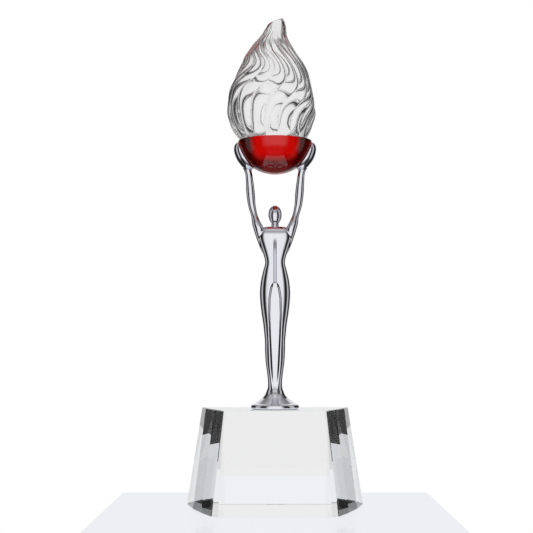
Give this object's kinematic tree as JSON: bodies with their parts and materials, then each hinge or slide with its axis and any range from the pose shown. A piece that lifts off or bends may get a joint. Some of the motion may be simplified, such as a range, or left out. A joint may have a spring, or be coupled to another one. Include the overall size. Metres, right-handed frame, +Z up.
{
  "type": "crystal award",
  "caption": "Free-standing crystal award: a chrome figure on a tapered clear block lifts a red crystal bowl that carries a fluted clear flame.",
  "frame": {"origin": "centre of the block's footprint, on the surface that it rests on", "axes": "+Z up along the figure, front face towards -Y, +X to the viewer's right"},
  "size_m": [0.1118, 0.0658, 0.305],
  "materials": {
    "clear_crystal": "clear optical crystal, flat faces polished",
    "red_crystal": "deep red transparent crystal, polished",
    "chrome_plate": "bright chrome plate on a zinc casting, mirror polished",
    "clear_adhesive": "clear cured adhesive film"
  },
  "bodies": {
    "root": {"base_block": "clear_crystal", "foot_bond": "clear_adhesive", "figure_casting": "chrome_plate", "palm_bond_left": "clear_adhesive", "palm_bond_right": "clear_adhesive", "bowl": "red_crystal", "flame_bond": "clear_adhesive", "flame": "clear_crystal"}
  },
  "joints": []
}
